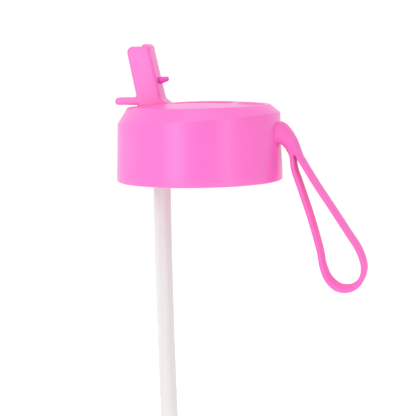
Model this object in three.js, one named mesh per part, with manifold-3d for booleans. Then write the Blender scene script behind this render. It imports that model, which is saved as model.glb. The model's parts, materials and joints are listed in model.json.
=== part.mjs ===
// Screw-on straw lid of a children's drinking bottle, with a flip-up spout and a carry strap.
// Millimetres, +Z up. The origin is the centre of the shell's bottom rim. The spout's hinge is on the
// -X side and the carry strap leaves the wall on the +X side. The spout is modelled open.
import * as THREE from 'three';
import { mergeVertices } from 'three/addons/utils/BufferGeometryUtils.js';
import Module from 'manifold-3d';

const wasm = await Module();
wasm.setup();

const degree = Math.PI / 180;
const fit = 0.3; // gap between pieces that touch
const roundSteps = 64; // flats round a full turn of the large rings

// Lid shell
const footRadius = 37.5;
const footHeight = 7.6;
const wallRadius = 37.2; // just above the foot
const shoulderRadius = 36.9;
const shoulderHeight = 28.3;
const shoulderTilt = 2.0; // the shoulder is this much higher at the strap and lower at the hinge
const landRadius = 32.4;
const landHeight = 33.6;
const landTilt = -0.3;
const crownHeight = 35.3; // top of the shallow dome
const shellWall = 2.2;
const cavityRadius = 34.7;

// Channel that the closed spout lies in
const channelHalf = 10;
const channelStart = -13;
const channelEnd = 16;
const channelCorner = 3;
const channelFloor = 22.6;
const floorUnderside = 20.6;
const pocketWall = 2;

// Finger scoop in the top, beyond the channel
const scoopCentre = 25;
const scoopHalfX = 6.5;
const scoopHalfY = 17;
const scoopDepth = 1.6;

// Spout. Its own frame has the hinge axis at the origin and z along the drinking bore.
const hingeX = -20.1;
const hingeZ = 28.2;
const spoutLean = 12; // degrees outwards when open
const hubRadius = 9.6;
const spoutHalfWidth = 5.5; // along the hinge axis
const spoutHalfThickness = 5.1;
const spoutTip = 33.7; // hinge axis to tip
const boreRadius = 2.75;
const wellHalf = 6;
const wellRadius = hubRadius + 0.4;
const trunnionRadius = 2;
const trunnionHalf = 8.7;
const tabEnd = -37.6;
const tabBottom = 34.5;
const tabTop = 37.6;

// Vent plug on the spout's under face
const plugAlong = 16.3; // from the hinge axis along the bore
const plugLength = 4.1;
const plugBaseRadius = 1.7;
const plugTipRadius = 0.9;
const shankRadius = 1.1;
const shankDepth = 1.8;

// Threaded liner inside the shell
const linerRadius = 33.4;
const threadRoot = 31.4;
const threadBead = 1.1;
const threadPitch = 4;
const threadTurns = 1.5;
const threadStart = 4.4;
const linerFoot = 2;
const discBottom = 17.6;
const discTop = 20.2;

// Straw and its port
const strawX = -17.9;
const strawRadius = 4;
const strawBore = 3.15;
const strawTop = 13.9;
const strawBelow = 165; // below the shell's rim
const portBossRadius = 6.2;
const portBossFoot = 3.5;

// Carry strap. Its own frame starts where its axis crosses the shell's wall.
const strapRootX = 36.9;
const strapRootZ = 21.3;
const strapWidth = 10.5;
const strapThickness = 2;
const flangeHalf = 8.6; // half the oval flange's width on the wall
const flangeDepth = 4.9; // half its height
const flexX = 4.4; // the bend that the strap swings about
const flexZ = -2.3;
const knuckleRadius = 2.8;
const pinX = 31.2;
const pinZ = 23;
const pinRadius = 1.3;
const pinHalf = 8.3;

// A closed three.js geometry as a solid that can be joined and cut.
function solidOf(geometry) {
  const bare = geometry.index ? geometry.toNonIndexed() : geometry.clone();
  bare.deleteAttribute('normal');
  bare.deleteAttribute('uv');
  const merged = mergeVertices(bare, 1e-4);
  const corners = merged.index.array;
  const points = merged.attributes.position.array;
  const kept = [];
  let volume = 0;
  for (let i = 0; i < corners.length; i += 3) {
    const [a, b, c] = corners.slice(i, i + 3);
    if (a === b || b === c || c === a) {
      continue;
    }
    kept.push([a, b, c]);
    const [p, q, r] = [a, b, c].map((k) => new THREE.Vector3().fromArray(points, 3 * k));
    volume += p.dot(q.cross(r));
  }
  const outward = volume > 0 ? kept : kept.map(([a, b, c]) => [a, c, b]);
  const mesh = new wasm.Mesh({
    numProp: 3,
    vertProperties: new Float32Array(points),
    triVerts: new Uint32Array(outward.flat()),
  });
  return new wasm.Manifold(mesh);
}

function geometryOf(solid) {
  const mesh = solid.getMesh();
  const geometry = new THREE.BufferGeometry();
  geometry.setAttribute('position', new THREE.BufferAttribute(mesh.vertProperties, 3));
  geometry.setIndex(new THREE.BufferAttribute(mesh.triVerts, 1));
  return geometry;
}

function join(first, ...others) {
  return others.reduce((whole, other) => whole.add(other), first);
}

function cut(first, ...others) {
  return others.reduce((whole, other) => whole.subtract(other), first);
}

// A ring or disc about the Z axis from its closed half section of [radius, height] points.
function turned(section, steps = roundSteps) {
  const closed = [...section, section[0]].map(([radius, height]) => new THREE.Vector2(radius, height));
  return new THREE.LatheGeometry(closed, steps).rotateX(Math.PI / 2);
}

function block(x0, x1, y0, y1, z0, z1) {
  const box = new THREE.BoxGeometry(x1 - x0, y1 - y0, z1 - z0);
  return solidOf(box.translate((x0 + x1) / 2, (y0 + y1) / 2, (z0 + z1) / 2));
}

function rodAlongY(radius, halfLength, x, z, steps = 32) {
  return solidOf(new THREE.CylinderGeometry(radius, radius, 2 * halfLength, steps).translate(x, 0, z));
}

function rodAlongZ(radius, x, z0, z1, steps = 32) {
  const rod = new THREE.CylinderGeometry(radius, radius, z1 - z0, steps).rotateX(Math.PI / 2);
  return solidOf(rod.translate(x, 0, (z0 + z1) / 2));
}

// A side view, drawn in x and z, given its width along Y.
function acrossY(shape, halfWidth, curveSegments = 8) {
  const slab = new THREE.ExtrudeGeometry(shape, { depth: 2 * halfWidth, bevelEnabled: false, curveSegments });
  return solidOf(slab.rotateX(Math.PI / 2).translate(0, halfWidth, 0));
}

// A plan view, drawn in x and y, given its height along Z.
function upright(shape, z0, z1, curveSegments = 6) {
  const prism = new THREE.ExtrudeGeometry(shape, { depth: z1 - z0, bevelEnabled: false, curveSegments });
  return solidOf(prism.translate(0, 0, z0));
}

// Raises a turned solid's shoulder and land on the strap side, in proportion to x / radius.
function tiltTop(geometry, shoulderInner) {
  const place = geometry.attributes.position;
  for (let i = 0; i < place.count; i += 1) {
    const x = place.getX(i);
    const radius = Math.hypot(x, place.getY(i));
    const height = place.getZ(i);
    if (radius < landRadius - 3 || height < shoulderHeight - 4) {
      continue;
    }
    const tilt = radius > shoulderInner ? shoulderTilt : landTilt;
    place.setZ(i, height + tilt * x / radius);
  }
  return geometry;
}

function domePoints(centreHeight, edgeRadius, edgeHeight) {
  const sag = centreHeight - edgeHeight;
  return [0.75, 0.5, 0.25].map((part) => [part * edgeRadius, centreHeight - sag * part * part]);
}

function shellOutside() {
  const section = [
    [0, 0],
    [footRadius - 0.8, 0],
    [footRadius - 0.2, 0.3],
    [footRadius, 1],
    [footRadius, footHeight],
    [wallRadius, footHeight + 1.4],
    [shoulderRadius, shoulderHeight - 1.1],
    [shoulderRadius - 0.2, shoulderHeight - 0.3],
    [shoulderRadius - 0.7, shoulderHeight + 0.5],
    [landRadius + 0.5, landHeight - 0.5],
    [landRadius - 0.1, landHeight - 0.1],
    [landRadius - 0.9, landHeight],
    ...domePoints(crownHeight, landRadius, landHeight),
    [0, crownHeight],
  ];
  return solidOf(tiltTop(turned(section), shoulderRadius - 1));
}

// The space inside the shell, with a bead near the rim that the liner's flange snaps over.
function shellInside() {
  const beadTop = linerFoot - fit;
  const section = [
    [0, -1],
    [cavityRadius, -1],
    [cavityRadius, 0.5],
    [cavityRadius - 0.6, 1],
    [cavityRadius - 0.6, beadTop - 0.3],
    [cavityRadius, beadTop],
    [cavityRadius, shoulderHeight - 1.8],
    [landRadius - 1, landHeight - shellWall],
    ...domePoints(crownHeight - shellWall, landRadius, landHeight - shellWall),
    [0, crownHeight - shellWall],
  ];
  return solidOf(tiltTop(turned(section, roundSteps), cavityRadius - 0.1));
}

function channelPlan(start, end, half, corner) {
  const plan = new THREE.Shape();
  plan.moveTo(start, -half);
  plan.lineTo(end - corner, -half);
  plan.absarc(end - corner, corner - half, corner, -Math.PI / 2, 0);
  plan.absarc(end - corner, half - corner, corner, 0, Math.PI / 2);
  plan.lineTo(start, half);
  return plan;
}

// Everything that is open above the channel's floor and round the spout's hub.
function channelSpace() {
  const above = crownHeight + 5;
  return join(
    upright(channelPlan(channelStart, channelEnd, channelHalf, channelCorner), channelFloor, above),
    rodAlongY(wellRadius, wellHalf, hingeX, hingeZ, 48),
    block(hingeX - wellRadius, channelStart + 1, -wellHalf, wellHalf, hingeZ, above),
  );
}

// Walls and floor that carry the channel and the hinge bearings, before the space is cut out.
function channelWalls() {
  const wide = channelPlan(
    channelStart - pocketWall, channelEnd + pocketWall, channelHalf + pocketWall, channelCorner + pocketWall,
  );
  const hubWall = wellHalf + pocketWall;
  const bearing = trunnionRadius + fit + pocketWall;
  return join(
    upright(wide, floorUnderside, crownHeight + 1),
    block(hingeX - wellRadius - pocketWall, channelStart, -hubWall, hubWall, floorUnderside, crownHeight + 1),
    rodAlongY(bearing, trunnionHalf + fit + pocketWall, hingeX, hingeZ, 24),
  );
}

function scoopSpace() {
  const scoopLevel = crownHeight - (crownHeight - landHeight) * (scoopCentre / landRadius) ** 2;
  const lift = 2.4;
  const reach = lift + scoopDepth;
  const spread = 1 / Math.sqrt(1 - (lift / reach) ** 2);
  const bowl = new THREE.SphereGeometry(1, 28, 16).rotateX(Math.PI / 2);
  bowl.scale(scoopHalfX * spread, scoopHalfY * spread, reach);
  return solidOf(bowl.translate(scoopCentre, 0, scoopLevel + lift));
}

// Two ribs inside the wall that hold the strap's pin, and the slot that the strap's tongue passes.
function strapRibs() {
  const rib = (side) => block(pinX - 2.9, strapRootX - 1, side - 1.1, side + 1.1, floorUnderside, 26.4);
  return join(rib(7), rib(-7));
}

function strapSlot() {
  return join(
    block(pinX, footRadius + 2, -5.4, 5.4, pinZ - 2.1, pinZ + 2.1),
    rodAlongY(pinRadius + fit, pinHalf + 1, pinX, pinZ, 20),
  );
}

function makeShell() {
  const outside = shellOutside();
  const scoopPad = block(channelEnd, 31, -18.5, 18.5, landHeight - 3.6, crownHeight + 1);
  const inside = cut(shellInside(), channelWalls(), scoopPad, strapRibs());
  const shell = cut(outside, inside, channelSpace(), scoopSpace(), strapSlot());
  return cut(
    shell,
    rodAlongY(trunnionRadius + fit, trunnionHalf + fit, hingeX, hingeZ, 24),
    rodAlongZ(5.3, hingeX + plugAlong, floorUnderside - 1, channelFloor + 1, 28),
  );
}

class ThreadHelix extends THREE.Curve {
  getPoint(t, target = new THREE.Vector3()) {
    const angle = 2 * Math.PI * threadTurns * t;
    return target.set(
      threadRoot * Math.cos(angle),
      threadRoot * Math.sin(angle),
      threadStart + threadPitch * threadTurns * t,
    );
  }
}

function threadRidge() {
  const bead = new THREE.Shape().absarc(0, 0, threadBead, 0, 2 * Math.PI);
  const ridge = new THREE.ExtrudeGeometry(bead, {
    steps: Math.round(40 * threadTurns), extrudePath: new ThreadHelix(), curveSegments: 4, bevelEnabled: false,
  });
  return solidOf(ridge);
}

// The cup that holds the port seal, in the liner's disc: outer walls, then its hollow.
const sealLeft = -22.5;
const sealRight = -14;
const sealHalf = 4.6;
const sealFoot = 14.6;
const cupWall = 1.6;

function sealBlock(grow, bottom, top) {
  return block(sealLeft - grow, sealRight + grow, -sealHalf - grow, sealHalf + grow, bottom, top);
}

function makeLiner() {
  const section = [
    [0, discBottom],
    [threadRoot, discBottom],
    [threadRoot, linerFoot],
    [cavityRadius - fit, linerFoot],
    [cavityRadius - fit, linerFoot + 2],
    [linerRadius, linerFoot + 2.8],
    [linerRadius, discTop],
    [0, discTop],
  ];
  const body = join(
    solidOf(turned(section)),
    threadRidge(),
    sealBlock(fit + cupWall, sealFoot - fit - cupWall, discTop),
    rodAlongZ(portBossRadius, strawX, portBossFoot, sealFoot - fit),
  );
  const ventX = hingeX + plugAlong;
  return cut(
    body,
    sealBlock(fit, sealFoot - fit, discTop + 1),
    rodAlongZ(strawRadius + fit, strawX, 0, sealFoot),
    rodAlongY(hubRadius + fit, spoutHalfWidth + fit, hingeX, hingeZ, 48),
    rodAlongZ(5.3, ventX, discTop - 1.6, discTop + 1, 28),
    rodAlongZ(1.6, ventX, discBottom - 1, discTop, 16),
  );
}

// The cylinder and the straight part of the spout, its thumb tab and its trunnions, in the spout's frame.
function spoutSide() {
  const left = 4;
  const right = 3;
  const side = new THREE.Shape();
  side.moveTo(-spoutHalfThickness, 0);
  side.lineTo(spoutHalfThickness, 0);
  side.lineTo(spoutHalfThickness, spoutTip - right);
  side.absarc(spoutHalfThickness - right, spoutTip - right, right, 0, Math.PI / 2);
  side.absarc(left - spoutHalfThickness, spoutTip - left, left, Math.PI / 2, Math.PI);
  return side;
}

function thumbTab() {
  const round = 1.4;
  const end = tabEnd - hingeX;
  const low = tabBottom - hingeZ;
  const high = tabTop - hingeZ;
  const side = new THREE.Shape();
  side.moveTo(-6, low);
  side.lineTo(-6, high);
  side.absarc(end + round, high - round, round, Math.PI / 2, Math.PI);
  side.absarc(end + round, low + round, round, Math.PI, 1.5 * Math.PI);
  return acrossY(side, spoutHalfWidth, 4).rotate([0, spoutLean, 0]);
}

function makeSpout() {
  const body = join(
    acrossY(spoutSide(), spoutHalfWidth, 6),
    rodAlongY(hubRadius, spoutHalfWidth, 0, 0, 48),
    rodAlongY(trunnionRadius, trunnionHalf, 0, 0, 24),
    thumbTab(),
  );
  const biteRadius = 3;
  const plugHole = new THREE.CylinderGeometry(shankRadius + fit, shankRadius + fit, 2 * shankDepth, 16);
  plugHole.rotateZ(Math.PI / 2).translate(spoutHalfThickness, 0, plugAlong);
  return cut(
    body,
    rodAlongZ(boreRadius, 0, -hubRadius - 2, spoutTip + 2, 24),
    rodAlongY(biteRadius, spoutHalfWidth + 1, 0, spoutTip + biteRadius - 0.7, 24),
    solidOf(plugHole),
  );
}

// The plug's section is drawn from its shank's inner end to its rounded tip.
function makeVentPlug() {
  const section = [
    [0, fit - shankDepth],
    [shankRadius, fit - shankDepth],
    [shankRadius, fit],
    [plugBaseRadius, fit],
    [plugTipRadius, plugLength],
    [plugTipRadius * 0.6, plugLength + 0.4],
    [0, plugLength + 0.5],
  ];
  const plug = turned(section, 20).rotateY(Math.PI / 2);
  return solidOf(plug.translate(spoutHalfThickness, 0, plugAlong));
}

function makeVentGrommet() {
  const outer = 5;
  const low = discTop - 1.6 + fit;
  const high = channelFloor - 0.1;
  const section = [
    [1.2, low],
    [outer, low],
    [outer, high],
    [3.5, high],
  ];
  return solidOf(turned(section, 28)).translate([hingeX + plugAlong, 0, 0]);
}

function makePortSeal() {
  const spigotFoot = 7.5;
  const body = join(
    sealBlock(0, sealFoot, floorUnderside - 0.1),
    rodAlongZ(strawBore - fit, strawX, spigotFoot, sealFoot + 1),
  );
  return cut(
    body,
    rodAlongY(hubRadius + fit, sealHalf + 1, hingeX, hingeZ, 64),
    rodAlongZ(2.1, strawX, spigotFoot - 1, discTop, 24),
  );
}

function makeGasket() {
  const inner = 26.6;
  const outer = threadRoot - fit;
  const section = [
    [inner, 15],
    [outer, 15],
    [outer, discBottom - fit],
    [inner, discBottom - fit],
  ];
  return solidOf(turned(section));
}

// The straw hangs straight from the port and bows slightly towards the lid's axis.
const strawRoute = [[0, strawTop], [0, 0], [0, -30], [0.4, -68], [1.2, -108], [2.4, -strawBelow]];

function makeStraw() {
  const points = strawRoute.map(([shift, z]) => new THREE.Vector3(strawX + shift, 0, z));
  const ring = new THREE.Shape().absarc(0, 0, strawRadius, 0, 2 * Math.PI);
  ring.holes.push(new THREE.Path().absarc(0, 0, strawBore, 0, 2 * Math.PI));
  const tube = new THREE.ExtrudeGeometry(ring, {
    steps: 16, extrudePath: new THREE.CatmullRomCurve3(points), curveSegments: 12, bevelEnabled: false,
  });
  return solidOf(tube);
}

// Middle line of the strap's ribbon in the strap's frame: down one leg, round the end, up the other.
const ribbonLine = [
  [6.1, -7.5], [6.3, -11], [6.7, -15.9], [9, -23], [13.7, -37.3], [17.5, -51.5], [18.6, -58.6],
  [20.9, -64.4], [24.6, -67.9], [28.3, -68.9], [32.4, -67.9], [35.6, -64.4], [36.9, -58.8], [34.6, -51.4],
  [30, -44.1], [23.3, -33.6], [16.4, -23], [12, -15.9], [8.9, -11.4], [7.2, -7.5],
];

function ribbonLoop() {
  const line = new THREE.CatmullRomCurve3(ribbonLine.map(([x, z]) => new THREE.Vector3(x, z, 0)));
  const steps = 64;
  const sides = [1, -1].map((side) => {
    const edge = [];
    for (let i = 0; i <= steps; i += 1) {
      const place = line.getPoint(i / steps);
      const along = line.getTangent(i / steps);
      const shift = side * strapThickness / 2;
      edge.push(new THREE.Vector2(place.x - along.y * shift, place.y + along.x * shift));
    }
    return edge;
  });
  return acrossY(new THREE.Shape([...sides[0], ...sides[1].reverse()]), strapWidth / 2);
}

// The solid stem that both legs of the ribbon grow out of, as far as the slit between them.
function strapStem() {
  const stem = new THREE.Shape();
  stem.moveTo(3.6, -4.4);
  stem.lineTo(7, -3.4);
  stem.lineTo(8.2, -6.6);
  stem.lineTo(9.6, -10.4);
  stem.lineTo(7.6, -10.6);
  stem.lineTo(5.3, -10.6);
  stem.lineTo(4.2, -7.6);
  return acrossY(stem, strapWidth / 2);
}

function makeStrap() {
  const hollow = rodAlongY(knuckleRadius + fit, strapWidth, flexX, flexZ, 32);
  return cut(join(strapStem(), ribbonLoop()), hollow);
}

// The strap's fixed end: tongue and eye inside the wall, oval flange and the start of the bend outside.
function makeStrapRoot() {
  const side = new THREE.Shape();
  side.moveTo(-1.5, flangeDepth);
  side.lineTo(1.2, 4.5);
  side.lineTo(flexX, flexZ + knuckleRadius);
  side.lineTo(flexX, flexZ - 1);
  side.lineTo(2.4, -4.2);
  side.lineTo(0.6, -flangeDepth);
  side.lineTo(-1.5, -flangeDepth);
  const oval = new THREE.Shape().absellipse(0, 0, flangeHalf, flangeDepth, 0, 2 * Math.PI);
  const ovalBar = new THREE.ExtrudeGeometry(oval, { depth: 14, bevelEnabled: false, curveSegments: 10 });
  ovalBar.rotateX(Math.PI / 2).rotateZ(Math.PI / 2).translate(-2, 0, 0);
  const plan = new THREE.Shape();
  plan.moveTo(-2, -flangeHalf);
  plan.lineTo(0.6, -flangeHalf);
  plan.lineTo(flexX, -strapWidth / 2 - 0.4);
  plan.lineTo(flexX, strapWidth / 2 + 0.4);
  plan.lineTo(0.6, flangeHalf);
  plan.lineTo(-2, flangeHalf);
  const planBar = new THREE.ExtrudeGeometry(plan, { depth: 12, bevelEnabled: false });
  planBar.translate(0, 0, -6);
  const knuckle = rodAlongY(knuckleRadius, strapWidth / 2, flexX, flexZ, 32);
  const flange = acrossY(side, flangeHalf).intersect(solidOf(ovalBar)).intersect(solidOf(planBar));
  const placed = join(flange, knuckle).translate([strapRootX, 0, strapRootZ]);
  const wall = rodAlongZ(wallRadius + fit, 0, 0, landHeight, roundSteps);
  const tongue = join(
    block(pinX, strapRootX + 1.5, -5.1, 5.1, pinZ - 1.8, pinZ + 1.8),
    rodAlongY(3, 5.1, pinX, pinZ, 24).intersect(block(0, 40, -6, 6, floorUnderside, 30)),
  );
  return cut(join(cut(placed, wall), tongue), rodAlongY(pinRadius + fit, 6, pinX, pinZ, 20));
}

function makePin() {
  return rodAlongY(pinRadius, pinHalf, pinX, pinZ, 20);
}

function piece(name, solid, colour, roughness, options = {}) {
  const material = new THREE.MeshStandardMaterial({ color: colour, roughness, metalness: 0, ...options });
  const mesh = new THREE.Mesh(geometryOf(solid), material);
  mesh.name = name;
  return mesh;
}

const pink = 0xfd84d6;
const silicone = 0xf76fc8;
const deepPink = 0xee4fb6;
const milky = 0xf1e9ec;

const lid = new THREE.Group();
lid.add(piece('lid_shell', makeShell(), pink, 0.38));
lid.add(piece('thread_liner', makeLiner(), pink, 0.4));
lid.add(piece('neck_gasket', makeGasket(), milky, 0.6));
lid.add(piece('port_seal', makePortSeal(), milky, 0.6));
lid.add(piece('vent_grommet', makeVentGrommet(), milky, 0.6));
lid.add(piece('straw', makeStraw(), milky, 0.3, { transparent: true, opacity: 0.6 }));
lid.add(piece('strap_root', makeStrapRoot(), silicone, 0.55));
lid.add(piece('strap_pin', makePin(), milky, 0.4));

const strapFrame = new THREE.Group();
strapFrame.position.set(strapRootX, 0, strapRootZ);
strapFrame.add(piece('carry_strap', makeStrap(), silicone, 0.55));

const spoutFrame = new THREE.Group();
spoutFrame.position.set(hingeX, 0, hingeZ);
spoutFrame.rotation.y = -spoutLean * degree;
spoutFrame.add(piece('spout', makeSpout(), pink, 0.38));
spoutFrame.add(piece('vent_plug', makeVentPlug(), deepPink, 0.5));

const group = new THREE.Group();
group.add(lid, strapFrame, spoutFrame);

export default group;
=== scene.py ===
import json
import math
import bmesh
import bpy
from mathutils import Matrix, Vector


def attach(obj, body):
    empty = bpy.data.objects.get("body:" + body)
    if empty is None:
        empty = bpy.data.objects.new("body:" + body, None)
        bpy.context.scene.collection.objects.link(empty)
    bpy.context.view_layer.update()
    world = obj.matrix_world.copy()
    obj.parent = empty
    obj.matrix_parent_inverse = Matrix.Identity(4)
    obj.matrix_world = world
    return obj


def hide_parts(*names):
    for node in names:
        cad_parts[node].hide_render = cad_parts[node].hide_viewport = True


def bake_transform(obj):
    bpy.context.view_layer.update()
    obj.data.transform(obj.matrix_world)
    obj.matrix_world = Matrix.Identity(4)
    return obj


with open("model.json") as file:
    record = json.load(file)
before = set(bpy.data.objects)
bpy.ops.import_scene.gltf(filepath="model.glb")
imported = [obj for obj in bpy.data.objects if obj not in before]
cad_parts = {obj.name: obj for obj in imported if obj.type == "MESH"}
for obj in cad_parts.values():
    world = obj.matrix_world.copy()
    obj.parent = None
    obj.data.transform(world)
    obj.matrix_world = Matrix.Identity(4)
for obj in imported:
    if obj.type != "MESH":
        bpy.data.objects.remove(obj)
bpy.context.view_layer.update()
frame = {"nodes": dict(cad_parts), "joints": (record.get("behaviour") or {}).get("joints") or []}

# Straw lid of a children's bottle. Outlines are in millimetres, and become metres as each mesh is finished.
mm = 0.001
scene = bpy.context.scene
joints = {joint["name"]: joint for joint in frame["joints"]}
hinge = Vector(joints["spout_hinge"]["pos_m"]) / mm
print("frame loaded")


# at eye level just above the lid and turned a little towards the strap
view = {
    "azimuth": 13, "distance": 600, "height": 58.8, "aimRight": 0.33, "aimDown": 6.83, "roll": 0.9,
    "lens": 114.2, "nearest": 20,
}


def makeCamera():
    turn = math.radians(view["azimuth"])
    back = Vector((math.sin(turn), -math.cos(turn), 0))
    right = Vector((math.cos(turn), math.sin(turn), 0))
    aim = -back * math.cos(math.radians(view["aimDown"]))
    aim += right * math.sin(math.radians(view["aimRight"]))
    aim.z = -math.sin(math.radians(view["aimDown"]))
    data = bpy.data.cameras.new("camera")
    data.lens = view["lens"]
    data.clip_start = view["nearest"] * mm
    camera = bpy.data.objects.new("camera", data)
    camera.location = (back * view["distance"] + Vector((0, 0, view["height"]))) * mm
    level = aim.to_track_quat("-Z", "Y").to_matrix()
    camera.rotation_euler = (level @ Matrix.Rotation(math.radians(-view["roll"]), 3, "Z")).to_euler()
    scene.collection.objects.link(camera)
    scene.camera = camera


makeCamera()


def filletLine(corners, steps=6):
    # corners are (x, z) or (x, z, radius); a corner with a radius becomes an arc
    line = []
    for i, corner in enumerate(corners):
        here = Vector(corner[:2])
        radius = corner[2] if len(corner) > 2 else 0
        if not radius:
            line.append(here)
            continue
        before = (Vector(corners[i - 1][:2]) - here).normalized()
        after = (Vector(corners[(i + 1) % len(corners)][:2]) - here).normalized()
        half = before.angle(after) / 2
        centre = here + (before + after).normalized() * radius / math.sin(half)
        start = here + before * radius / math.tan(half) - centre
        end = here + after * radius / math.tan(half) - centre
        sweep = math.atan2(start.cross(end), start.dot(end))
        line += [centre + Matrix.Rotation(sweep * k / steps, 2) @ start for k in range(steps + 1)]
    return line


def evenly(line, gap):
    # adds points so that no stretch of the closed line is longer than gap
    dense = []
    for i, point in enumerate(line):
        dense.append(point)
        following = line[(i + 1) % len(line)]
        parts = math.ceil((following - point).length / gap)
        dense += [point.lerp(following, k / parts) for k in range(1, parts)]
    return dense


def curveThrough(points, steps):
    # a smooth open curve through the points, with the same number of steps between each two
    points = [Vector(point) for point in points]
    points = [2 * points[0] - points[1]] + points + [2 * points[-1] - points[-2]]
    curve = []
    for a, b, c, d in zip(points, points[1:], points[2:], points[3:]):
        for k in range(steps):
            t = k / steps
            bend = (2 * a - 5 * b + 4 * c - d) * t * t + (3 * b - a - 3 * c + d) * t ** 3
            curve.append(b + ((c - a) * t + bend) / 2)
    curve.append(points[-2])
    return curve


def loft(rings):
    # skins closed rings of points and closes both ends
    bm = bmesh.new()
    loops = []
    for ring in rings:
        verts = [bm.verts.new(point) for point in ring]
        loops.append([bm.edges.new((verts[i - 1], verts[i])) for i in range(len(verts))])
    for low, high in zip(loops, loops[1:]):
        bmesh.ops.bridge_loops(bm, edges=low + high)
    for loop in (loops[0], loops[-1]):
        bmesh.ops.contextual_create(bm, geom=loop)
    bmesh.ops.recalc_face_normals(bm, faces=bm.faces)
    return bm


def spun(profile, steps, closed=False):
    # turns a half section of (radius, height) points about the Z axis
    bm = bmesh.new()
    verts = [bm.verts.new((radius, 0, height)) for radius, height in profile]
    edges = [bm.edges.new((verts[i - 1], verts[i])) for i in range(0 if closed else 1, len(verts))]
    bmesh.ops.spin(bm, geom=verts + edges, cent=(0, 0, 0), axis=(0, 0, 1), dvec=(0, 0, 0),
                   angle=2 * math.pi, steps=steps, use_merge=True)
    bmesh.ops.remove_doubles(bm, verts=bm.verts, dist=1e-4)
    bmesh.ops.recalc_face_normals(bm, faces=bm.faces)
    return bm


def rod(radius, start, end, sides=48):
    start, end = Vector(start), Vector(end)
    bm = bmesh.new()
    place = Matrix.Translation((start + end) / 2) @ (end - start).to_track_quat("Z", "Y").to_matrix().to_4x4()
    bmesh.ops.create_cone(bm, cap_ends=True, segments=sides, radius1=radius, radius2=radius,
                          depth=(end - start).length, matrix=place)
    return bm


def box(low, high):
    low, high = Vector(low), Vector(high)
    bm = bmesh.new()
    size = Matrix.Diagonal((*(high - low), 1))
    bmesh.ops.create_cube(bm, size=1, matrix=Matrix.Translation((low + high) / 2) @ size)
    return bm


def placeInScene(name, bm):
    mesh = bpy.data.meshes.new(name)
    bm.to_mesh(mesh)
    bm.free()
    item = bpy.data.objects.new(name, mesh)
    scene.collection.objects.link(item)
    return item


def takeResult(item, extras=()):
    # the mesh with its modifiers applied, as a bmesh; the objects it came from are removed
    depsgraph = bpy.context.evaluated_depsgraph_get()
    shaped = item.evaluated_get(depsgraph)
    bm = bmesh.new()
    bm.from_mesh(shaped.to_mesh())
    shaped.to_mesh_clear()
    for old in (item, *extras):
        bpy.data.objects.remove(old)
    return bm


def combine(bm, others, operation):
    item = placeInScene("blank", bm)
    tools = [placeInScene("tool", other) for other in others]
    for tool in tools:
        modifier = item.modifiers.new("combine", "BOOLEAN")
        modifier.operation = operation
        modifier.solver = "EXACT"
        modifier.object = tool
    result = takeResult(item, tools)
    bmesh.ops.remove_doubles(result, verts=result.verts, dist=1e-4)
    return result


def fuse(bm, voxel, smoothing):
    # one skin round overlapping solids, softened
    item = placeInScene("blank", bm)
    remesh = item.modifiers.new("fuse", "REMESH")
    remesh.mode = "VOXEL"
    remesh.voxel_size = voxel
    result = takeResult(item)
    for _ in range(smoothing):
        bmesh.ops.smooth_vert(result, verts=result.verts, factor=0.5, use_axis_x=True, use_axis_y=True,
                              use_axis_z=True)
    return result


def finishPiece(name, bm, material, body=None, replaced=(), sharp=32):
    bmesh.ops.scale(bm, vec=(mm, mm, mm), verts=bm.verts)
    for face in bm.faces:
        face.smooth = True
    piece = placeInScene(name, bm)
    piece.data.set_sharp_from_angle(angle=math.radians(sharp))
    piece.data.materials.append(material)
    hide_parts(*replaced)
    if body:
        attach(piece, body)
    print(name, "made,", len(piece.data.polygons), "faces")
    return piece


def toLinear(hexColour):
    channels = [int(hexColour[i:i + 2], 16) / 255 for i in (1, 3, 5)]
    return [c / 12.92 if c <= 0.04045 else ((c + 0.055) / 1.055) ** 2.4 for c in channels] + [1]


def addNode(tree, kind, inputs=None, **settings):
    node = tree.nodes.new(kind)
    for key, value in settings.items():
        setattr(node, key, value)
    for key, value in (inputs or {}).items():
        if isinstance(value, bpy.types.NodeSocket):
            tree.links.new(value, node.inputs[key])
        else:
            node.inputs[key].default_value = value
    return node


def startMaterial(name):
    material = bpy.data.materials.new(name)
    material.use_nodes = True
    tree = material.node_tree
    return material, tree, tree.nodes["Principled BSDF"]


def perMetre(sizeInMm):
    return 1 / (sizeInMm * mm)


def mouldedPolypropylene(name, settings):
    # injection moulded polypropylene from a fine-etched tool: a satin skin that scatters a little light
    # below the surface, with faint cloudy flow in its colour
    material, tree, shader = startMaterial(name)
    place = addNode(tree, "ShaderNodeTexCoord").outputs["Object"]
    cloud = addNode(tree, "ShaderNodeTexNoise", {
        "Vector": place, "Scale": perMetre(settings["flowMm"]), "Detail": 3})
    tint = addNode(tree, "ShaderNodeMix", {"Factor": cloud.outputs["Fac"]}, data_type="RGBA")
    tint.inputs["A"].default_value = toLinear(settings["colour"])
    tint.inputs["B"].default_value = toLinear(settings["flowColour"])
    etch = addNode(tree, "ShaderNodeTexNoise", {
        "Vector": place, "Scale": perMetre(settings["etchMm"]), "Detail": 2})
    roughness, varies = settings["roughness"], 0.02
    gloss = addNode(tree, "ShaderNodeMapRange", {
        "Value": cloud.outputs["Fac"], "To Min": roughness - varies, "To Max": roughness + varies})
    bump = addNode(tree, "ShaderNodeBump", {
        "Height": etch.outputs["Fac"], "Strength": settings["etch"], "Distance": 0.02 * mm})
    tree.links.new(tint.outputs["Result"], shader.inputs["Base Color"])
    tree.links.new(gloss.outputs["Result"], shader.inputs["Roughness"])
    tree.links.new(bump.outputs["Normal"], shader.inputs["Normal"])
    shader.inputs["IOR"].default_value = 1.49  # polypropylene, and near enough for the nylon pin
    shader.inputs["Specular IOR Level"].default_value = settings["shine"]
    shader.inputs["Subsurface Weight"].default_value = settings["scatter"]
    shader.inputs["Subsurface Radius"].default_value = (1.0, 0.35, 0.7)
    shader.inputs["Subsurface Scale"].default_value = 1.2 * mm
    return material


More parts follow.
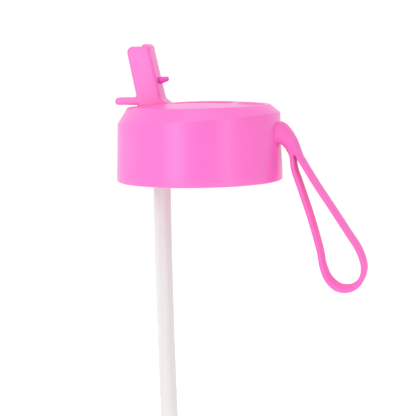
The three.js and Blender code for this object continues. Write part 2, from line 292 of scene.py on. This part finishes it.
def mouldedSilicone(name, settings):
    # compression moulded silicone: duller than the plastic and soft at its edges; the plug and the seals
    # have a faint bloom that shows at grazing angles
    material, tree, shader = startMaterial(name)
    place = addNode(tree, "ShaderNodeTexCoord").outputs["Object"]
    cloud = addNode(tree, "ShaderNodeTexNoise", {"Vector": place, "Scale": perMetre(9), "Detail": 2})
    tint = addNode(tree, "ShaderNodeMix", {"Factor": cloud.outputs["Fac"]}, data_type="RGBA")
    tint.inputs["A"].default_value = toLinear(settings["colour"])
    tint.inputs["B"].default_value = toLinear(settings["cloudColour"])
    grain = addNode(tree, "ShaderNodeTexNoise", {"Vector": place, "Scale": perMetre(0.7), "Detail": 3})
    bump = addNode(tree, "ShaderNodeBump", {
        "Height": grain.outputs["Fac"], "Strength": 0.25, "Distance": 0.02 * mm})
    tree.links.new(tint.outputs["Result"], shader.inputs["Base Color"])
    tree.links.new(bump.outputs["Normal"], shader.inputs["Normal"])
    shader.inputs["Roughness"].default_value = settings["roughness"]
    shader.inputs["IOR"].default_value = 1.41  # silicone rubber
    shader.inputs["Specular IOR Level"].default_value = settings["shine"]
    shader.inputs["Subsurface Weight"].default_value = settings["scatter"]
    shader.inputs["Subsurface Radius"].default_value = settings["scatterColour"]
    shader.inputs["Subsurface Scale"].default_value = 1.5 * mm
    shader.inputs["Sheen Weight"].default_value = settings["bloom"]
    shader.inputs["Sheen Roughness"].default_value = 0.5
    return material


def extrudedPolyethylene(name, settings):
    # translucent polyethylene tube: milky, with die lines that run along it and a soft satin shine
    material, tree, shader = startMaterial(name)
    place = addNode(tree, "ShaderNodeTexCoord").outputs["Object"]
    stretch = addNode(tree, "ShaderNodeMapping", {"Vector": place, "Scale": (1, 1, 0.012)})
    lines = addNode(tree, "ShaderNodeTexNoise", {
        "Vector": stretch.outputs["Vector"], "Scale": perMetre(settings["dieLineMm"]), "Detail": 2})
    tint = addNode(tree, "ShaderNodeMix", {"Factor": lines.outputs["Fac"]}, data_type="RGBA")
    tint.inputs["A"].default_value = toLinear(settings["colour"])
    tint.inputs["B"].default_value = toLinear(settings["lineColour"])
    bump = addNode(tree, "ShaderNodeBump", {
        "Height": lines.outputs["Fac"], "Strength": 0.2, "Distance": 0.03 * mm})
    tree.links.new(tint.outputs["Result"], shader.inputs["Base Color"])
    tree.links.new(bump.outputs["Normal"], shader.inputs["Normal"])
    shader.inputs["Roughness"].default_value = 0.32
    shader.inputs["IOR"].default_value = 1.51  # low-density polyethylene
    shader.inputs["Transmission Weight"].default_value = settings["clear"]
    shader.inputs["Subsurface Weight"].default_value = 0.25
    shader.inputs["Subsurface Radius"].default_value = (1.0, 0.9, 0.9)
    shader.inputs["Subsurface Scale"].default_value = 2 * mm
    return material


pinkPlastic = mouldedPolypropylene("moulded pink polypropylene", {
    "colour": "#F76AC4", "flowColour": "#F86EC6", "roughness": 0.32, "shine": 0.75, "flowMm": 16,
    "etchMm": 0.5, "etch": 0.3, "scatter": 0.12})
linerPlastic = mouldedPolypropylene("moulded liner polypropylene", {
    "colour": "#F565C1", "flowColour": "#F970C8", "roughness": 0.45, "shine": 0.5, "flowMm": 12,
    "etchMm": 0.6, "etch": 0.4, "scatter": 0.15})
strapSilicone = mouldedSilicone("moulded pink silicone", {
    "colour": "#F36EBF", "cloudColour": "#F575C3", "roughness": 0.5, "shine": 0.06, "scatter": 0.1,
    "scatterColour": (1.0, 0.2, 0.5), "bloom": 0})
plugSilicone = mouldedSilicone("moulded magenta silicone", {
    "colour": "#F156CB", "cloudColour": "#F45DCE", "roughness": 0.42, "shine": 0.5, "scatter": 0.2,
    "scatterColour": (1.0, 0.2, 0.5), "bloom": 0.05})
sealSilicone = mouldedSilicone("clear silicone seal", {
    "colour": "#E9E2E4", "cloudColour": "#F1ECEE", "roughness": 0.45, "shine": 0.5, "scatter": 0.4,
    "scatterColour": (1.0, 0.9, 0.9), "bloom": 0.05})
strawPlastic = extrudedPolyethylene("extruded milky polyethylene", {
    "colour": "#FFFCFB", "lineColour": "#EBE4E3", "dieLineMm": 1.6, "clear": 0.2})
pinPlastic = mouldedPolypropylene("moulded white nylon", {
    "colour": "#EDE8E6", "flowColour": "#F4F0EE", "roughness": 0.4, "shine": 0.5, "flowMm": 10,
    "etchMm": 0.5, "etch": 0.3, "scatter": 0.2})
print("materials made")


lid = {
    "foot": 37.7, "footHeight": 7.6, "wall": 37.2, "shoulder": 36.9, "shoulderHeight": 28.3,
    "shoulderTilt": 2.0, "land": 32.4, "landHeight": 33.75, "landTilt": 0.4, "crown": 35.6, "cavity": 34.7,
    "shellWall": 2.2,
    "channelHalf": 10, "channelStart": -13, "channelEnd": 16, "channelFloor": 22.4, "floorUnderside": 20.6,
    "pocketWall": 2, "lip": 0.9, "floorEdge": 0.8, "wellHalf": 6, "wellRadius": 10.15,
    "bearing": (2.3, 9), "hingeBoss": (4.3, 11),  # radius and half length about the hinge
    "grommetHole": (16.3, 5.3),  # distance from the hinge, radius
    "strapSlot": ((31.2, -5.4, 20.9), (39.5, 5.4, 25.1)),
    "pinBore": (1.6, (31.2, -9.3, 23), (31.2, 9.3, 23)),
    "pinRib": (28.3, 35.9, 5.9, 8.1, 26.4),  # inner and outer x, near and far y, top
    "scoopBack": (31, 18.5, 30),  # far x, half width, underside
    "scoopCentre": 24.5, "scoopHalfX": 6.5, "scoopHalfY": 16.5, "steps": 144,
    "scoopRings": [  # share of the oval, depth
        (0.3, 1.95), (0.55, 1.85), (0.75, 1.6), (0.88, 1.2), (0.95, 0.7), (0.98, 0.3), (1.02, 0.05),
        (1.08, -0.05),
    ],
}


def domeHeight(x, y):
    level = lid["crown"] - (lid["crown"] - lid["landHeight"]) * (x * x + y * y) / lid["land"] ** 2
    return level + lid["landTilt"] * x / lid["land"]


def tiltTop(bm, shoulderInner):
    # the top leans as one plane, and the shoulder stands higher at the strap and lower at the hinge
    for vert in bm.verts:
        radius = vert.co.xy.length
        if vert.co.z < lid["shoulderHeight"] - 4 or radius < 1e-3:
            continue
        share = min(1, max(0, (radius - lid["land"]) / (shoulderInner - lid["land"])))
        tilt = lid["landTilt"] + (lid["shoulderTilt"] - lid["landTilt"]) * share
        vert.co.z += tilt * vert.co.x / max(radius, lid["land"])


def domeProfile(drop):
    radii = [lid["land"] * (1 - k / 22) for k in range(2, 22)]
    return [(radius, domeHeight(0, radius) - drop) for radius in radii] + [(0, lid["crown"] - drop)]


def shellOutside():
    corners = [
        (0, 0), (lid["foot"], 0, 0.8), (lid["foot"], lid["footHeight"] - 4, 40),
        (lid["wall"], lid["footHeight"] + 8, 40),
        (lid["shoulder"], lid["shoulderHeight"], 1.5), (lid["land"], lid["landHeight"], 1.0),
    ]
    outline = filletLine(corners + domeProfile(0), 7)
    bm = spun([(point[0], point[1]) for point in outline], lid["steps"])
    tiltTop(bm, lid["shoulder"] - 0.6)
    return bm


def shellInside():
    cavity = lid["cavity"]
    corners = [
        (0, -1), (cavity, -1), (cavity, 0.5, 0.3), (cavity - 0.6, 1, 0.2), (cavity - 0.6, 1.4, 0.2),
        (cavity, 1.8, 0.2),
        (cavity, lid["shoulderHeight"] - 1.8, 1), (lid["land"] - 1, lid["landHeight"] - lid["shellWall"], 1),
    ]
    outline = filletLine(corners + domeProfile(lid["shellWall"])[2:], 4)
    bm = spun([(point[0], point[1]) for point in outline], 96)
    tiltTop(bm, cavity - 0.1)
    return bm


def keyhole(grow):
    # plan of the opening: the narrow hub well, then the wide channel
    start = hinge.x - lid["wellRadius"] - grow
    step, end = lid["channelStart"] - grow, lid["channelEnd"] + grow
    well, half = lid["wellHalf"] + grow, lid["channelHalf"] + grow
    corners = [
        (start, -well, 1.2), (step, -well, 1.0), (step, -half, 1.5), (end, -half, 3 + grow),
        (end, half, 3 + grow), (step, half, 1.5), (step, well, 1.0), (start, well, 1.2),
    ]
    return evenly(filletLine(corners, 6), 1.5)


def openingCutter():
    floor, lip, edge = lid["channelFloor"], lid["lip"], lid["floorEdge"]
    turns = [math.radians(angle) for angle in (0, 22.5, 45, 67.5, 90)]
    rings = []
    for a in turns:
        plan = keyhole(-edge * (1 - math.sin(a)))
        rings.append([Vector((p.x, p.y, floor + edge * (1 - math.cos(a)))) for p in plan])
    for a in turns:
        plan = keyhole(lip * (1 - math.cos(a)))
        rings.append([Vector((p.x, p.y, domeHeight(p.x, p.y) - lip * (1 - math.sin(a)))) for p in plan])
    rings.append([Vector((p.x, p.y, 45)) for p in keyhole(lip)])
    return loft(rings)


def scoopCutter():
    # a shallow oval bowl with a quick turn at its rim; each ring is a share of the oval and a depth
    def ring(share, depth, height=None):
        points = []
        for k in range(96):
            x = lid["scoopCentre"] + share * lid["scoopHalfX"] * math.cos(math.tau * k / 96)
            y = share * lid["scoopHalfY"] * math.sin(math.tau * k / 96)
            points.append(Vector((x, y, height or domeHeight(x, y) - depth)))
        return points

    return loft([ring(*size) for size in lid["scoopRings"]] + [ring(1.08, 0, 45)])


def hubRod(radius, half, sides=96):
    return rod(radius, (hinge.x, -half, hinge.z), (hinge.x, half, hinge.z), sides)


def makeShell():
    low, top, wall = lid["floorUnderside"], lid["crown"] + 2, lid["pocketWall"]
    start, end = lid["channelStart"], lid["channelEnd"] + wall
    side, wellSide = lid["channelHalf"] + wall, lid["wellHalf"] + wall
    wellEnd = hinge.x - lid["wellRadius"] - wall
    plan = filletLine([(start - wall, -side), (end, -side, 5), (end, side, 5), (start - wall, side)])
    ribIn, ribOut, ribNear, ribFar, ribTop = lid["pinRib"]
    backX, backSide, backLow = lid["scoopBack"]
    walls = [
        loft([[Vector((p.x, p.y, z)) for p in plan] for z in (low, top)]),
        box((wellEnd, -wellSide, low), (start, wellSide, top)),
        hubRod(*lid["hingeBoss"]),
        box((lid["channelEnd"], -backSide, backLow), (backX, backSide, top)),
        box((ribIn, ribNear, low), (ribOut, ribFar, ribTop)),
        box((ribIn, -ribFar, low), (ribOut, -ribNear, ribTop)),
    ]
    inside = combine(shellInside(), walls, "DIFFERENCE")
    ventAlong, ventRadius = lid["grommetHole"]
    ventX = hinge.x + ventAlong
    spaces = [
        inside, openingCutter(), scoopCutter(), hubRod(lid["wellRadius"], lid["wellHalf"]),
        hubRod(*lid["bearing"], 32), box(*lid["strapSlot"]), rod(*lid["pinBore"], 24),
        rod(ventRadius, (ventX, 0, low - 1), (ventX, 0, lid["channelFloor"] + 1), 64),
    ]
    shell = combine(shellOutside(), spaces, "DIFFERENCE")
    return finishPiece("lidShell", shell, pinkPlastic, "lid", ["lid_shell"])


makeShell()


# the spout is drawn about its hinge and then moved to it
spout = {
    "lean": 12, "hub": 9.6, "halfWidth": 5.5, "halfThick": 5.25, "taper": 0.25, "tip": 33.7, "bore": 2.75,
    "tabEnd": -17.9, "tabLow": 6.3, "tabHigh": 9.6, "edge": 1.1, "dip": 1.3, "rootFillet": 2.8,
    "plugAlong": 16.3, "trunnion": 2, "trunnionReach": 8.7, "lipFlare": 1.8, "plugHole": (1.4, 1.8),
}


def leaned(x, z):
    turn = math.radians(spout["lean"])
    return (x * math.cos(turn) - z * math.sin(turn), x * math.sin(turn) + z * math.cos(turn))


def spoutOutline():
    # round the root of the shaft, up its under face, over the lips, down to the thumb tab and round the hub
    hub, half, tip, flare = spout["hub"], spout["halfThick"], spout["tip"], spout["rootFillet"]
    base = half + spout["taper"]
    centre = Vector((base + flare, math.sqrt((hub + flare) ** 2 - (base + flare) ** 2)))
    heel = math.atan2(centre.y, centre.x)
    turns = [math.pi + heel * (1 - k / 8) for k in range(9)]
    corners = [leaned(centre.x + flare * math.cos(a), centre.y + flare * math.sin(a)) for a in turns]
    lean = math.radians(spout["lean"])
    root = (spout["tabHigh"] + half * math.sin(lean)) / math.cos(lean)
    tabAngle = math.pi - math.asin(spout["tabLow"] / hub)
    corners += [
        (*leaned(half, tip), 2.0),
        (*leaned(3.0, tip), 1.0),
        (*leaned(0.7, tip - spout["dip"]), 1.8),
        (*leaned(-1.9, tip + 0.2), 1.2),
        (*leaned(-half, tip), 2.7),
        (leaned(-base, root)[0], spout["tabHigh"], 1.2),
        (spout["tabEnd"], spout["tabHigh"], 1.4),
        (spout["tabEnd"], spout["tabLow"], 1.4),
        (hub * math.cos(tabAngle), spout["tabLow"]),
    ]
    sweep = math.tau + heel + lean - tabAngle
    arc = [tabAngle + sweep * k / 60 for k in range(1, 60)]
    return filletLine(corners + [(hub * math.cos(a), hub * math.sin(a)) for a in arc], 8)


def insetLine(line, depth):
    # moves every point of an anticlockwise outline inwards, square to its neighbours
    moved = []
    for i, point in enumerate(line):
        before = (point - line[i - 1]).normalized()
        after = (line[(i + 1) % len(line)] - point).normalized()
        inward = Vector((-(before + after).y, (before + after).x)).normalized()
        moved.append(point + inward * depth / max(0.5, inward.dot(Vector((-after.y, after.x)))))
    return moved


def makeSpout():
    outline, edge, half = spoutOutline(), spout["edge"], spout["halfWidth"]
    turns = [math.radians(angle) for angle in range(0, 91, 15)]
    rounding = [(edge * (1 - math.cos(a)), edge * (1 - math.sin(a))) for a in turns]
    levels = [(half - depth, inset) for depth, inset in rounding]
    levels = [(-y, inset) for y, inset in levels] + levels[::-1]
    bm = loft([[Vector((p.x, y, p.y)) for p in insetLine(outline, inset)] for y, inset in levels])
    along = Vector((leaned(0, 1)[0], 0, leaned(0, 1)[1]))
    mouth = spout["tip"] - spout["dip"] - 0.5
    lipCone = bmesh.new()
    place = Matrix.Translation(along * (mouth + 1)) @ along.to_track_quat("Z", "Y").to_matrix().to_4x4()
    bmesh.ops.create_cone(lipCone, cap_ends=True, segments=64, radius1=spout["bore"] - 0.2,
                          radius2=spout["bore"] + spout["lipFlare"], depth=2, matrix=place)
    across = Vector((leaned(1, 0)[0], 0, leaned(1, 0)[1]))
    plugAt = along * spout["plugAlong"]
    reach = spout["trunnionReach"]
    holeRadius, holeDepth = spout["plugHole"]
    body = combine(bm, [rod(spout["trunnion"], (0, -reach, 0), (0, reach, 0))], "UNION")
    body = combine(body, [
        rod(spout["bore"], along * -12, along * 40, 64), lipCone,
        rod(holeRadius, plugAt + across * (spout["halfThick"] - holeDepth), plugAt + across * 7, 24),
    ], "DIFFERENCE")
    bmesh.ops.translate(body, vec=hinge, verts=body.verts)
    return finishPiece("spoutBody", body, pinkPlastic, "spout", ["spout"], 34)


ventPlug = {
    "steps": 48,
    "outline": [(0, -1.5), (1.1, -1.5, 0.2), (1.1, 0.3), (1.7, 0.3, 0.35), (0.95, 4.6, 0.9), (0, 4.7)],
}


def makeVentPlug():
    turn = math.radians(spout["lean"])
    profile = filletLine(ventPlug["outline"], 8)
    bm = spun([(point[0], point[1]) for point in profile], ventPlug["steps"])
    bmesh.ops.rotate(bm, cent=(0, 0, 0), matrix=Matrix.Rotation(math.radians(90), 3, "Y"), verts=bm.verts)
    bmesh.ops.translate(bm, vec=(spout["halfThick"], 0, spout["plugAlong"]), verts=bm.verts)
    bmesh.ops.rotate(bm, cent=(0, 0, 0), matrix=Matrix.Rotation(-turn, 3, "Y"), verts=bm.verts)
    bmesh.ops.translate(bm, vec=hinge, verts=bm.verts)
    return finishPiece("ventPlug", bm, plugSilicone, "spout", ["vent_plug"], 50)


makeSpout()
makeVentPlug()


straw = {
    "x": -17.9, "radius": 4, "wall": 0.85, "sides": 48, "rimEdge": 0.2,
    "route": [(0, 13.9), (0, 0), (0, -30), (0.4, -68), (1.2, -108), (2.4, -165)],  # sideways bow, height
}


def makeStraw():
    rings = []
    angles = [2 * math.pi * k / straw["sides"] for k in range(straw["sides"])]
    radius = straw["radius"]
    for shift, height in curveThrough(straw["route"], 8):
        middle = straw["x"] + shift
        rings.append([Vector((middle + radius * math.cos(a), radius * math.sin(a), height)) for a in angles])
    bm = loft(rings)
    ends = [face for face in bm.faces if len(face.verts) > 4]
    bmesh.ops.delete(bm, geom=ends, context="FACES_ONLY")
    bmesh.ops.solidify(bm, geom=bm.faces, thickness=straw["wall"])
    rims = [edge for edge in bm.edges if abs(edge.calc_face_angle(0)) > 1]
    bmesh.ops.bevel(bm, geom=rims, offset=straw["rimEdge"], offset_type="OFFSET", segments=2, profile=0.5,
                    affect="EDGES", clamp_overlap=True, material=-1)
    return finishPiece("strawTube", bm, strawPlastic, "straw", ["straw"])


makeStraw()


# one silicone moulding, drawn from where its axis crosses the lid's wall
strap = {
    "root": (36.9, 0, 21.3), "halfWidth": 5.25, "corner": 0.85, "voxel": 0.32, "smoothing": 5,
    "tongue": ((-5.7, -5.1, -0.1), (1, 5.1, 3.5)),
    "flexReach": (5.2, 0, -4.6),  # from the middle of the bend to where the loop turns rigid
    "stemRounding": 0.92,  # share of the smaller half size
    "stem": [  # x, z, half width, half thickness
        (-1.6, 0, 9.2, 5.1), (-0.3, 0, 9.0, 5.05), (1.1, -0.5, 8.1, 4.5), (2.6, -1.5, 7.0, 3.8),
        (4.2, -3.1, 6.2, 3.25), (5.6, -5.2, 5.6, 2.95), (6.5, -7.3, 5.35, 2.75), (7.2, -9.2, 5.25, 2.4),
    ],
    "ribbon": [  # x, z, half thickness
        (5.0, -5.6, 1.1), (5.6, -8, 1.1), (6.0, -9.7, 1), (6.3, -11.5, 1), (6.9, -16.2, 1.05),
        (9.3, -23.4, 1.1), (14.1, -37.9, 1.1), (18.1, -52.3, 1.1), (19.4, -59.5, 1.15), (21.8, -65.5, 1.25),
        (25.5, -69.1, 1.35), (29.3, -70.1, 1.35), (33.5, -69.1, 1.25), (36.8, -65.5, 1.2), (38, -59.7, 1.15),
        (35.7, -52.2, 1.1), (31, -44.8, 1.05), (24.1, -34.1, 1.05), (17, -23.4, 1.05), (12.6, -16.2, 1.05),
        (9.8, -11.5, 1.05), (8.9, -9.7, 1.1), (8.2, -8, 1.2), (7.4, -5.6, 1.2),
    ],
}


def strapSection(place, along, halfWidth, halfThick, corner):
    normal = Vector((-along.y, along.x))
    corners = [(-halfWidth, -halfThick, corner), (halfWidth, -halfThick, corner),
               (halfWidth, halfThick, corner), (-halfWidth, halfThick, corner)]
    return [Vector((place.x + normal.x * p.y, p.x, place.y + normal.y * p.y)) for p in filletLine(corners, 5)]


def sweepStrap(route):
    # route holds (x, z, half width, half thickness, corner radius) at each station
    rings = []
    for i, station in enumerate(route):
        before, after = route[max(i - 1, 0)], route[min(i + 1, len(route) - 1)]
        along = Vector((after[0] - before[0], after[1] - before[1])).normalized()
        rings.append(strapSection(Vector(station[:2]), along, *station[2:]))
    return loft(rings)


def makeStrap():
    stem = curveThrough(strap["stem"], 5)
    stemRoute = [(*s, min(s[2], s[3]) * strap["stemRounding"]) for s in stem]
    halfWidth, corner = strap["halfWidth"], strap["corner"]
    ribbonRoute = [(x, z, halfWidth, thick, corner) for x, z, thick in curveThrough(strap["ribbon"], 8)]
    whole = sweepStrap(stemRoute)
    for part in (sweepStrap(ribbonRoute), box(*strap["tongue"])):
        mesh = bpy.data.meshes.new("part")
        part.to_mesh(mesh)
        part.free()
        whole.from_mesh(mesh)
        bpy.data.meshes.remove(mesh)
    bm = fuse(whole, strap["voxel"], strap["smoothing"])
    bmesh.ops.translate(bm, vec=strap["root"], verts=bm.verts)
    replaced = ["strap_root", "carry_strap"]
    piece = finishPiece("carryStrap", bm, strapSilicone, None, replaced, 60)
    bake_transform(piece)


makeStrap()


seals = {
    "grommet": [(1.2, 18.9), (5, 18.9), (5, 22.5, 0.3), (3.5, 22.5, 0.3)],
    "gasket": [(26.6, 15, 0.3), (31.1, 15, 0.3), (31.1, 17.3, 0.3), (26.6, 17.3, 0.3)],
}


def makeRing(name, corners, centreX, material, replaced, steps=96):
    outline = filletLine(corners, 4)
    bm = spun([(point[0], point[1]) for point in outline], steps, True)
    bmesh.ops.translate(bm, vec=(centreX, 0, 0), verts=bm.verts)
    return finishPiece(name, bm, material, "lid", replaced)


makeRing("ventGrommet", seals["grommet"], hinge.x + lid["grommetHole"][0], sealSilicone,
         ["vent_grommet"], 64)
makeRing("neckGasket", seals["gasket"], 0, sealSilicone, ["neck_gasket"])
for node, material in (("thread_liner", linerPlastic), ("port_seal", sealSilicone), ("strap_pin", pinPlastic)):
    frame["nodes"][node].data.materials.clear()
    frame["nodes"][node].data.materials.append(material)
print("inner pieces made")


studio = {
    "floor": -166, "floorRadius": 6000, "floorGlow": 0.15, "brightTowards": (-0.4, 0.55, 0.73),
    "brightSide": 1.02, "darkSide": 0.25, "turnsBright": (-0.3, 0.4),
    "boxes": [  # name, place in metres, size in metres, power in watts
        ("left softbox", (-0.46, -1.22, 0.4), (0.6, 1.1), 4.9),
        ("right softbox", (1.0, -0.83, 0.4), (0.35, 1.1), 2.4),
        ("top softbox", (0.1, -0.6, 1.1), (0.8, 0.8), 1.8),
    ],
}


def makeFloor():
    # a big sheet of white paper, lit a little from underneath
    bm = bmesh.new()
    bmesh.ops.create_circle(bm, cap_ends=True, segments=64, radius=studio["floorRadius"])
    bmesh.ops.translate(bm, vec=(0, 0, studio["floor"]), verts=bm.verts)
    bmesh.ops.scale(bm, vec=(mm, mm, mm), verts=bm.verts)
    floor = placeInScene("floor", bm)
    paper, _, shader = startMaterial("matt white paper")
    shader.inputs["Base Color"].default_value = toLinear("#FCFCFC")
    shader.inputs["Roughness"].default_value = 0.95
    shader.inputs["Emission Color"].default_value = (1, 1, 1, 1)
    shader.inputs["Emission Strength"].default_value = studio["floorGlow"]
    floor.data.materials.append(paper)


def makeSoftbox(name, place, size, power):
    data = bpy.data.lights.new(name, "AREA")
    data.shape = "RECTANGLE"
    data.size, data.size_y = size
    data.energy = power
    light = bpy.data.objects.new(name, data)
    light.location = place
    light.rotation_euler = (-light.location).to_track_quat("-Z", "Y").to_euler()
    scene.collection.objects.link(light)


def makeWorld():
    # white behind, greyer in front and on the strap's side
    world = bpy.data.worlds.new("white studio")
    world.use_nodes = True
    tree = world.node_tree
    toward = addNode(tree, "ShaderNodeTexCoord").outputs["Generated"]
    side = addNode(tree, "ShaderNodeVectorMath", {0: toward, 1: studio["brightTowards"]},
                   operation="DOT_PRODUCT")
    dark, bright = studio["turnsBright"]
    strength = addNode(tree, "ShaderNodeMapRange", {
        "Value": side.outputs["Value"], "From Min": dark, "From Max": bright,
        "To Min": studio["darkSide"], "To Max": studio["brightSide"]}, interpolation_type="SMOOTHSTEP")
    background = tree.nodes["Background"]
    background.inputs["Color"].default_value = (1, 1, 1, 1)
    tree.links.new(strength.outputs["Result"], background.inputs["Strength"])
    scene.world = world


makeFloor()
makeWorld()
for softbox in studio["boxes"]:
    makeSoftbox(*softbox)
scene.view_settings.view_transform = "Standard"
print("studio made")
